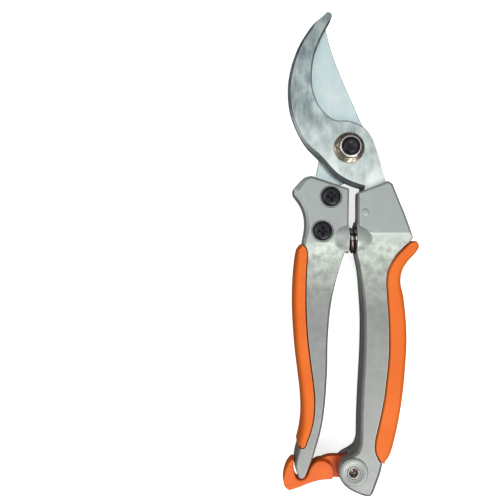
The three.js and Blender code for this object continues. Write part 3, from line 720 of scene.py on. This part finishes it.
def hollow_rivet():
    """A plated rim round a hollow painted dark for the shade inside it, in a dull red-brown, with light
    specks painted as glints.
    """
    look = Look("rivet_brass", (0.30, 0.29, 0.28), 0.4, 0.6)
    stain = look.noise(0.7, detail=4.0)
    rim = look.ramp(stain, (0.35, (0.10, 0.10, 0.095)), (0.65, (0.34, 0.34, 0.32)))
    # painted shade in the hollow, with painted glints from the lighter stain
    hollow_shade = look.spread(look.along("Z"), BOSS_FRONT - 1.3, BOSS_FRONT - 0.6, 1.0, 0.0, scale=MM)
    look.color(look.mix(hollow_shade, rim, look.ramp(stain, (0.45, (0.07, 0.028, 0.02)), (0.6, (0.50, 0.44, 0.36)))))
    look.roughness(look.spread(stain, 0.3, 0.7, 0.28, 0.45))
    look.bump(look.noise(0.3, detail=2.0), 0.03, 0.6)
    return look.material


def banded_spring():
    look = Look("spring_steel", (0.12, 0.09, 0.08), 0.34, 0.9, coat_weight=0.3, coat_roughness=0.12)
    stain = look.noise(1.4, detail=4.0)
    # painted reflections and shade: light and dark bands across the spring's width stand in for the
    # highlights and shade on its round coils
    reach = SPRING_RADIUS + SPRING_WIRE
    across = look.spread(look.along("Y"), SPRING_Y - reach, SPRING_Y + reach, 0, 1, scale=MM)
    base = look.ramp(
        across, (0.0, (0.06, 0.05, 0.05)), (0.18, (0.24, 0.17, 0.17)), (0.46, (0.42, 0.29, 0.29)),
        (0.50, (0.22, 0.16, 0.15)), (0.53, (1.0, 0.98, 0.95)), (0.63, (1.0, 0.98, 0.95)),
        (0.67, (0.14, 0.12, 0.10)), (0.76, (0.16, 0.13, 0.11)), (0.80, (0.80, 0.74, 0.68)),
        (0.90, (0.70, 0.64, 0.58)), (0.95, (0.02, 0.02, 0.02)))
    base = look.mix(look.spread(stain, 0.50, 0.7, 0, 0.35), base, (0.20, 0.14, 0.13))
    look.color(base)
    look.roughness(look.spread(stain, 0.3, 0.7, 0.34, 0.5))
    look.bump(look.noise(0.25, stretch=(4, 1, 1), detail=2.0), 0.01, 0.5)
    return look.material


# ---- the pieces ------------------------------------------


def make_hook(material):
    """Ground along its outer edge, with a small bevel along the jaw."""
    p = np.array(HOOK)
    back = facing(HOOK, (-0.8, -0.6)) * np.clip((p[:, 1] + 19.5) / 2.0, 0.06, 1)
    tip = np.clip((58.5 - p[:, 1]) / 8.0, 0.3, 1)
    jaw = facing(HOOK, (1, 0.3)) * np.clip((p[:, 1] - 4.0) / 8.0, 0, 1)
    by_handle = np.clip((2.0 - p[:, 1]) / 6.0, 0, 1)
    chamfer = (0.28 + (0.8 + 0.75 * by_handle) * back + 0.42 * jaw) * tip
    body = slab("hook", HOOK, [
        (0.22 * tip, HOOK_BACK), (0.06 * tip, HOOK_BACK + 0.1), (0, HOOK_BACK + 0.3), (0, HOOK_FRONT - 1.2),
        (0.03 * tip, HOOK_FRONT - 1.1), (chamfer * 0.93, HOOK_FRONT - 0.08), (chamfer * 1.03, HOOK_FRONT),
    ])
    combine(body, [
        bar((0, 0), PLATE_BORE, HOOK_BACK - 1, HOOK_FRONT, flare=0.4),
        bar(PIN_PLACE, PIN_RADIUS + GAP, HOOK_BACK - 1, HOOK_FRONT, flare=0.3),
    ])
    finish_piece(body, "hook", "hook_side", "hook_blade", material, sharp=24)


def make_blade(material):
    """Ground on its back face towards the cutting edge, less at the heel and the tip."""
    p = np.array(BLADE)
    from_heel, to_tip = np.clip((p[:, 1] + 2.0) / 3.0, 0, 1), np.clip((53.5 - p[:, 1]) / 14.0, 0.12, 1)
    edge = facing(BLADE, (-1, 0)) * from_heel * to_tip
    body = slab("blade", BLADE, [
        (0.12 + 3.0 * edge, BLADE_BACK), (0.03 + 1.5 * edge, BLADE_BACK + 1.05), (0, BLADE_FRONT - 0.5),
        (0.02, BLADE_FRONT - 0.35), (0.12, BLADE_FRONT - 0.1), (0.3, BLADE_FRONT),
    ])
    bores = [bar((0, 0), PLATE_BORE, BLADE_BACK - 1, BLADE_FRONT, flare=0.3)]
    for place in SCREW_PLACES.values():
        bores.append(bar(place, SCREW_SHANK + GAP, BLADE_BACK - 1, BLADE_FRONT, flare=0.2))
    combine(body, bores)
    finish_piece(body, "blade", "blade_side", "cutting_blade", material, sharp=24)


def near(points, place, reach):
    """1 at the place, falling smoothly to 0 at reach mm from it."""
    share = np.clip(1 - np.linalg.norm(np.array(points) - np.array(place), axis=1) / reach, 0, 1)
    return share * share * (3 - 2 * share)


def chamfer_share(points, spots):
    """The chamfer's width at each point: 1, and more or less near the spots, (place, reach, more)."""
    share = 1
    for place, reach, more in spots:
        share = share + more * near(points, place, reach)
    return share


def casting(name, points, wide):
    """A die-cast handle: drafted walls, a parting ridge, chamfered and rounded edges. Where wide is over 1
    the chamfer spreads into a facet, and under 1 it is narrower."""
    mid = (CASTING_BACK + CASTING_FRONT) / 2
    depth = 0.93 * np.sqrt(wide)
    return slab(name, points, [
        (1.30, CASTING_BACK), (1.02, CASTING_BACK + 0.06), (0.34, CASTING_BACK + 0.74),
        (0.20, CASTING_BACK + 1.1),
        (0.06, mid - 0.2), (0.0, mid - 0.1), (0.0, mid + 0.1), (0.06, mid + 0.2),
        (0.16, CASTING_FRONT - 0.5 - 1.02 * depth), (0.26, CASTING_FRONT - 0.12 - depth),
        (0.16 + 0.90 * wide, CASTING_FRONT - 0.13), (0.22 + 0.98 * wide, CASTING_FRONT - 0.05),
        (0.34 + 1.08 * wide, CASTING_FRONT),
    ])


def pocket_domes(low, high):
    """The bulges over one side's spring pocket, on the front and the back face."""
    made = []
    x, y, z = DOME_CENTRE
    front_root, back_root = CASTING_FRONT - DOME_ROOT, 2 * SPRING_Z - CASTING_FRONT + DOME_ROOT
    for centre_z, z_low, z_high in ((z, front_root, 30.0), (2 * SPRING_Z - z, -10.0, back_root)):
        dome = ellipsoid((x, y, centre_z), DOME)
        made.append(combine(dome, [block((low, -60, z_low), (high, -20, z_high))], "INTERSECT"))
    return made


def pocket(low, high):
    profile = [(0, low), (POCKET_RADIUS, low), (POCKET_RADIUS, high), (0, high)]
    return turned("pocket", (0, SPRING_Y, SPRING_Z), profile, axis="X")


def dipped_front(x0, x1, y_crease, drop):
    """Cuts a shallow dip into the front face: it starts at a crease, falls towards the grips and runs out."""
    length, steps, run_out, lean, proud = 30.0, 24, 0.8, 0.8, 0.02
    z = CASTING_FRONT
    profile = [(y_crease, z + proud)]
    for step in range(1, steps + 1):
        share = step / steps
        fall = math.sin(math.pi * min(share / run_out, 1.0) ** lean)
        profile.append((y_crease - length * share, z + proud - drop * fall))
    profile += [(y_crease - length, z + 4), (y_crease, z + 4)]
    return skin("dip", [[(x, y, height) for y, height in profile] for x in (x0, x1)])


def make_left_handle(material):
    body = casting("left", LEFT_CASTING, chamfer_share(LEFT_CASTING, [
        ((-23.4, -18.5), 13.0, 1.5), ((-18.2, -32.0), 12.0, 0.5), ((-20.2, -138.2), 16.0, -0.6),
        ((LEFT_FACE, -24.0), 9.0, -0.6), ((LEFT_FACE, -36.0), 9.0, -0.6),
    ]))
    combine(body, [
        slab("recess", LEFT_RECESS, [(0, -1), (0, 20)]), dipped_front(-40.0, LEFT_FACE + 4.0, -39.5, 0.7),
    ])
    combine(body, pocket_domes(-20, LEFT_FACE), "UNION")
    tools = [
        slab("slot", TANG_SLOT, [(0, BLADE_BACK - GAP), (0, BLADE_FRONT + GAP)]),
        pocket(SPRING_LEFT - 1.2, LEFT_FACE + 1),
    ]
    for place in SCREW_PLACES.values():
        tools += [
            bar(place, SPOT_FACE_RADIUS, SPOT_FACE_FLOOR, CASTING_FRONT, flare=0.25),
            bar(place, SCREW_SHANK + GAP, 0, 15.5, flare=0.2),
            many_sided(place, NUT_POCKET_ACROSS_FLATS, 0, NUT_POCKET_FRONT),
        ]
    combine(body, tools)
    finish_piece(softened(body), "left_casting", "blade_side", "left_handle", material)


def make_right_handle(material):
    body = casting("right", RIGHT_CASTING, chamfer_share(RIGHT_CASTING, [
        ((11.5, -140.0), 14.0, 0.4), ((RIGHT_FACE, -24.0), 9.0, -0.6), ((RIGHT_FACE, -36.0), 9.0, -0.6),
    ]))
    combine(body, [slab("recess", RIGHT_RECESS, [(0, -1), (0, 20)]), dipped_front(0.0, 40.0, -35.4, 0.9)])
    boss = turned("boss", BOSS_PLACE, [
        (0, 3.0), (BOSS_RADIUS, 3.0), (BOSS_RADIUS, BOSS_FRONT - 0.55), (BOSS_RADIUS - 0.2, BOSS_FRONT - 0.2),
        (BOSS_RADIUS - 0.6, BOSS_FRONT - 0.02), (BOSS_RADIUS - 0.9, BOSS_FRONT), (3.95, BOSS_FRONT),
        (3.8, BOSS_FRONT - 0.3), (3.2, BOSS_FRONT - 0.38), (0, BOSS_FRONT - 0.4),
    ], sides=96)
    combine(body, [boss] + pocket_domes(RIGHT_FACE, 20), "UNION")
    combine(body, [
        slab("slot", HOOK_SLOT, [(0, HOOK_BACK - GAP), (0, HOOK_FRONT + GAP)]),
        slab("relief", HEAD_RELIEF_SHAPE, [(0, CASTING_BACK - 1.0), (0, HEAD_LIP_BACK)]),
        pocket(RIGHT_FACE - 1, SPRING_RIGHT + 1.2),
        block((-12, -150, TONGUE_BACK - 1.2), (RIVET_PLACE[0] + 6.4, -128.6, TONGUE_FRONT + GAP)),
        bar(PIN_PLACE, PIN_RADIUS + GAP, 0, 15.8),
        bar(PIN_PLACE, PIN_HEAD_RADIUS + 0.03, PIN_SEAT - 0.1, 20),
        bar(RIVET_PLACE, RIVET_BORE, 0, 20),
        bar(RIVET_PLACE, 2.85, BOSS_FRONT - 1.4, 20),
        bar(RIVET_PLACE, 3.6, 0, CASTING_BACK + 1.4),
    ])
    finish_piece(softened(body), "right_casting", "hook_side", "right_handle", material)


def make_grip(name, points, outward, body, node, material):
    """A soft overmoulding: crowned, more on its outer side than along the seam."""
    w = (0.2 + 0.8 * facing(points, outward, 0.1, 0.9)) * (1 - 0.6 * near(points, points[0], 9.0))
    side_z = [(1.0, 0.0), (0.62, 0.35), (0.34, 1.0), (0.14, 2.0), (0.03, 3.4)]
    rings = [(GRIP_CROWN * share * w, GRIP_BACK + rise) for share, rise in side_z]
    rings += [(0, 5.2), (0, 8.3), (0.05 * w, 8.5), (0, 8.7), (0, 11.8)]
    rings += [(GRIP_CROWN * share * w, GRIP_FRONT - rise) for share, rise in reversed(side_z)]
    finish_piece(slab(name, points, rings), name, body, node, material, sharp=50)


def make_bolt(material):
    profile = [
        (0, 1.6), (2.0, 1.6), (2.3, 0.1), (BOLT_HEAD_RADIUS - 1.2, 0.0), (BOLT_HEAD_RADIUS - 0.5, 0.12),
        (BOLT_HEAD_RADIUS - 0.1, 0.6), (BOLT_HEAD_RADIUS, 1.0), (BOLT_HEAD_RADIUS, BOLT_HEAD_HEIGHT - 0.25),
        (BOLT_HEAD_RADIUS - 0.2, BOLT_HEAD_HEIGHT), (BOLT_RADIUS, BOLT_HEAD_HEIGHT),
        (BOLT_RADIUS, THREAD_START),
    ]
    crest = THREAD_START
    while crest < BOLT_TOP - 1.2:
        profile += [(BOLT_RADIUS, crest + 0.1), (BOLT_RADIUS - THREAD_DEPTH, crest + THREAD_PITCH / 2),
                    (BOLT_RADIUS, crest + 0.8)]
        crest += THREAD_PITCH
    profile += [
        (BOLT_RADIUS - 0.08, BOLT_TOP - 0.7), (BOLT_RADIUS - 0.55, BOLT_TOP - 0.12),
        (BOLT_RADIUS - 0.75, BOLT_TOP), (1.5, BOLT_TOP), (1.35, BOLT_TOP - 0.1), (0.5, BOLT_TOP - 0.22),
        (0, BOLT_TOP - 0.24),
    ]
    finish_piece(turned("bolt", (0, 0), profile), "bolt", "hook_side", "pivot_bolt", material)


def make_nut(material):
    """A flange nut: hexagon with a turned crown on a tapered flange, bored through."""
    crown = turned("crown", (0, 0), [
        (0, NUT_SEAT), (8, NUT_SEAT), (8, NUT_TOP - 2.1), (NUT_ACROSS_FLATS / 2 - 0.25, NUT_TOP - 0.05),
        (NUT_ACROSS_FLATS / 2 - 0.6, NUT_TOP), (0, NUT_TOP),
    ], sides=96)
    body = many_sided((0, 0), NUT_ACROSS_FLATS, NUT_SEAT + 0.4, NUT_TOP + 1)
    combine(body, [crown], "INTERSECT")
    flange = turned("flange", (0, 0), [
        (0, NUT_SEAT), (NUT_FLANGE_RADIUS - 0.15, NUT_SEAT), (NUT_FLANGE_RADIUS, NUT_SEAT + 0.15),
        (NUT_FLANGE_RADIUS, NUT_SEAT + 0.45), (NUT_FLANGE_RADIUS - 0.15, NUT_SEAT + 0.65),
        (NUT_ACROSS_FLATS / 2, NUT_SEAT + 1.45), (0, NUT_SEAT + 1.5),
    ], sides=96)
    combine(body, [flange], "UNION")
    combine(body, [bar((0, 0), BOLT_RADIUS + 0.06, 10, NUT_TOP, flare=0.3)])
    finish_piece(softened(body, 0.08), "nut", "hook_side", "pivot_nut", material, sharp=28)


def ring_profile(inner, outer, low, high, edge=0.1):
    return [(inner, low + edge), (inner + edge, low), (outer - edge, low), (outer, low + edge),
            (outer, high - edge), (outer - edge, high), (inner + edge, high), (inner, high - edge)]


def make_rings(plated, bush):
    made = turned("ring", (0, 0), ring_profile(BOLT_BORE, 6.2, 4.0, 5.3))
    finish_piece(made, "washer", "hook_side", "pivot_washer", plated)
    made = turned("ring", (0, 0), ring_profile(BOLT_BORE, BUSH_RADIUS, BLADE_BACK, HOOK_FRONT))
    finish_piece(made, "bush", "hook_side", "pivot_bush", bush)
    made = turned("ring", RIVET_PLACE, ring_profile(RIVET_BORE, 4.6, 5.3, 5.9))
    finish_piece(made, "lever_washer", "hook_side", "latch_washer", plated)


def cross_recess(place, top):
    """A tapered cross, as a driver leaves it."""
    arms = []
    for turn in (0, math.pi / 2):
        across, up = math.cos(turn), math.sin(turn)
        loops = []
        for z, length, width in ((top - 1.25, 0.9, 0.28), (top - 0.5, 1.75, 0.42), (top + 0.5, 2.45, 0.6)):
            corners = [(-length, -width), (length, -width), (length, width), (-length, width)]
            turned_corners = [(x * across - y * up, x * up + y * across) for x, y in corners]
            loops.append([(place[0] + x, place[1] + y, z) for x, y in turned_corners])
        arms.append(skin("arm", loops))
    cone = [(0, top - 1.75), (1.05, top - 0.7), (1.25, top + 0.5), (0, top + 0.5)]
    return arms + [turned("cone", place, cone, sides=24)]


def make_screws(black, plated):
    for name, place in SCREW_PLACES.items():
        profile = [(0, 1.2), (SCREW_SHANK - 0.3, 1.2), (SCREW_SHANK, 1.6), (SCREW_SHANK, SCREW_SEAT),
                   (SCREW_HEAD_RADIUS - 0.15, SCREW_SEAT), (SCREW_HEAD_RADIUS, SCREW_SEAT + 0.15)]
        for step in range(9):
            a = math.radians(8 + 82 * step / 8)
            shoulder = SCREW_HEAD_RADIUS - 1.7
            profile.append((shoulder + 1.7 * math.cos(a), SCREW_TOP - 1.5 + 1.38 * math.sin(a)))
        profile += [(1.2, SCREW_TOP), (0, SCREW_TOP)]
        body = combine(turned("screw", place, profile), cross_recess(place, SCREW_TOP))
        finish_piece(softened(body, 0.07), f"screw_{name}", "blade_side", f"blade_screw_{name}",
                     black)
        nut = many_sided(place, BLADE_NUT_ACROSS_FLATS, BLADE_NUT_BACK, BLADE_NUT_FRONT)
        crown = turned("crown", place, [
            (0, BLADE_NUT_BACK), (3.3, BLADE_NUT_BACK), (4.2, 1.85), (4.2, BLADE_NUT_FRONT),
            (0, BLADE_NUT_FRONT),
        ])
        combine(nut, [crown], "INTERSECT")
        combine(nut, [bar(place, SCREW_SHANK + 0.2, 0, 10)])
        finish_piece(softened(nut, 0.07), f"nut_{name}", "blade_side", f"blade_nut_{name}",
                     plated)


def make_pin(material):
    top = CASTING_FRONT + 0.5
    body = turned("pin", PIN_PLACE, [
        (0, 1.1), (PIN_RADIUS - 0.2, 1.1), (PIN_RADIUS, 1.3), (PIN_RADIUS, PIN_SEAT),
        (PIN_HEAD_RADIUS, PIN_SEAT), (PIN_HEAD_RADIUS, top - 0.5), (PIN_HEAD_RADIUS - 0.12, top - 0.3),
        (PIN_HEAD_RADIUS - 0.45, top - 0.12), (PIN_HEAD_RADIUS - 0.95, top - 0.02), (0, top),
    ])
    finish_piece(body, "pin", "hook_side", "hook_pin", material, sharp=40)


def make_spring(material):
    """A compression spring across the gap, with closed ends."""
    steps_per_turn, section_sides = 48, 18
    steps = round(SPRING_TURNS * steps_per_turn)
    closed = 0.75 / SPRING_TURNS

    def travel(t):
        slow = 0.82
        if t < closed:
            return t * slow
        if t > 1 - closed:
            return 1 - (1 - t) * slow
        start = closed * slow
        return start + (t - closed) / (1 - 2 * closed) * (1 - 2 * start)

    def centre(t):
        a = 2 * math.pi * SPRING_TURNS * t
        x = SPRING_LEFT + (SPRING_RIGHT - SPRING_LEFT) * travel(t)
        return Vector((x, SPRING_Y + SPRING_RADIUS * math.cos(a), SPRING_Z + SPRING_RADIUS * math.sin(a)))

    loops = []
    for step in range(steps + 1):
        t = step / steps
        here = centre(t)
        tangent = (centre(min(t + 1e-3, 1)) - centre(max(t - 1e-3, 0))).normalized()
        out = Vector((0, here.y - SPRING_Y, here.z - SPRING_Z)).normalized()
        side = tangent.cross(out).normalized()
        radius = SPRING_WIRE * (0.9 if step in (0, steps) else 1.0)
        angles = [2 * math.pi * k / section_sides for k in range(section_sides)]
        loops.append([here + (out * math.cos(a) + side * math.sin(a)) * radius for a in angles])
    body = skin("spring", loops)
    finish_piece(body, "spring", None, "handle_spring", material, sharp=60, level=False)
    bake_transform(body)


def make_latch(material):
    """The thick hooked arm, its curved step and the thin tongue that turns in the handle."""
    arm = slab("arm", LEVER, [
        (0.75, LEVER_BACK), (0.36, LEVER_BACK + 0.14), (0.12, LEVER_BACK + 0.45), (0, LEVER_BACK + 0.9),
        (0, LEVER_FRONT - 0.9), (0.12, LEVER_FRONT - 0.45), (0.36, LEVER_FRONT - 0.14), (0.75, LEVER_FRONT),
    ])
    tongue = slab("tongue", TONGUE, [
        (0.25, TONGUE_BACK), (0, TONGUE_BACK + 0.25), (0, TONGUE_FRONT - 0.3), (0.1, TONGUE_FRONT - 0.08),
        (0.3, TONGUE_FRONT),
    ])
    combine(arm, [tongue], "UNION")
    combine(arm, [bar(RIVET_PLACE, RIVET_BORE, 0, 20)])
    finish_piece(arm, "latch", "latch", "latch_lever", material, sharp=40)


def make_rivet(material):
    body = turned("rivet", RIVET_PLACE, [
        (0, 1.3), (2.4, 1.3), (3.0, 1.45), (3.2, 1.75), (3.2, 2.1), (2.0, 2.1),
        (2.0, BOSS_FRONT - 1.1), (2.7, BOSS_FRONT - 1.05), (2.78, BOSS_FRONT - 0.75),
        (2.6, BOSS_FRONT - 0.5), (2.25, BOSS_FRONT - 0.42), (1.9, BOSS_FRONT - 0.5),
        (1.7, BOSS_FRONT - 0.8), (1.4, BOSS_FRONT - 2.6), (0.9, BOSS_FRONT - 3.0),
        (0, BOSS_FRONT - 3.1),
    ])
    finish_piece(body, "rivet", "hook_side", "latch_rivet", material)


# ---- floor and light -------------------------------------


def make_floor():
    """A pale table that glows. It neither lights the object nor shows in its gloss."""
    bm = bmesh.new()
    bmesh.ops.create_grid(bm, x_segments=1, y_segments=1, size=4.0)
    floor = new_object("floor", bm)
    floor.location = (0, 0, -0.0002)
    look = Look("floor", (0.9, 0.9, 0.9), 0.9, specular_ior_level=0.1)
    look.color(look.ramp(look.noise(120.0, detail=2.0), (0.3, (0.88, 0.88, 0.88)), (0.7, (0.91, 0.91, 0.91))))
    look.shader.inputs["Emission Color"].default_value = (1, 1, 1, 1)
    look.shader.inputs["Emission Strength"].default_value = 0.7
    floor.visible_diffuse = False
    floor.visible_glossy = False
    floor.data.materials.append(look.material)


def area_light(name, place, target, size, power):
    data = bpy.data.lights.new(name, "AREA")
    data.shape = "DISK"
    data.size = size
    data.energy = power
    light = bpy.data.objects.new(name, data)
    light.location = place
    light.rotation_euler = (Vector(target) - Vector(place)).to_track_quat("-Z", "Y").to_euler()
    bpy.context.scene.collection.objects.link(light)


def make_world():
    """A soft box overhead that fades to dark towards the horizon. The camera sees a pale backdrop instead."""
    world = bpy.data.worlds.new("studio")
    world.use_nodes = True
    tree = world.node_tree
    background = tree.nodes["Background"]
    background.inputs["Strength"].default_value = 0.74
    split = tree.nodes.new("ShaderNodeSeparateXYZ")
    ramp = tree.nodes.new("ShaderNodeValToRGB")
    elements = ramp.color_ramp.elements
    elements.new(0.5)
    for element, (position, level) in zip(elements, ((0.0, 0.10), (0.5, 0.24), (0.88, 1.0))):
        element.position = position
        element.color = (level * 0.97, level * 0.985, level, 1)
    tree.links.new(tree.nodes.new("ShaderNodeTexCoord").outputs["Generated"], split.inputs["Vector"])
    tree.links.new(split.outputs["Z"], ramp.inputs["Fac"])
    seen = tree.nodes.new("ShaderNodeMix")
    seen.data_type = "RGBA"
    tree.links.new(tree.nodes.new("ShaderNodeLightPath").outputs["Is Camera Ray"], seen.inputs["Factor"])
    sky, backdrop = [s for s in seen.inputs if s.type == "RGBA"]
    tree.links.new(ramp.outputs["Color"], sky)
    backdrop.default_value = (1.3, 1.3, 1.3, 1)
    mixed = [s for s in seen.outputs if s.type == "RGBA"][0]
    tree.links.new(mixed, background.inputs["Color"])
    bpy.context.scene.world = world


def make_light():
    centre = (-0.01, -0.045, 0.01)
    area_light("key", (0.30, -0.62, 0.82), centre, 0.5, 5.2)
    area_light("head", (-0.30, 0.05, 0.45), (0.0, 0.0, 0.01), 0.3, 0.5)
    area_light("fill_left", (-0.75, -0.25, 0.40), centre, 0.5, 1.1)
    make_world()
    bpy.context.scene.view_settings.view_transform = "Standard"


make_camera()
paint = painted_casting()
rubber = soft_grip()
black = black_oxide()
zinc = yellow_zinc("plated_steel")
make_hook(brushed_hook())
make_blade(polished_blade())
make_left_handle(paint)
make_right_handle(paint)
make_grip("grip_left", LEFT_GRIP, (-1, 0), "blade_side", "left_grip", rubber)
make_grip("grip_right", RIGHT_GRIP, (1, 0), "hook_side", "right_grip", rubber)
make_bolt(black)
make_nut(yellow_zinc("plated_nut", NUT_TOP))
make_rings(zinc, brass("bush_brass", (0.45, 0.30, 0.12), (0.78, 0.60, 0.30)))
make_screws(black, zinc)
make_pin(paint)
make_spring(banded_spring())
make_latch(moulded_latch())
make_rivet(hollow_rivet())
make_floor()
make_light()
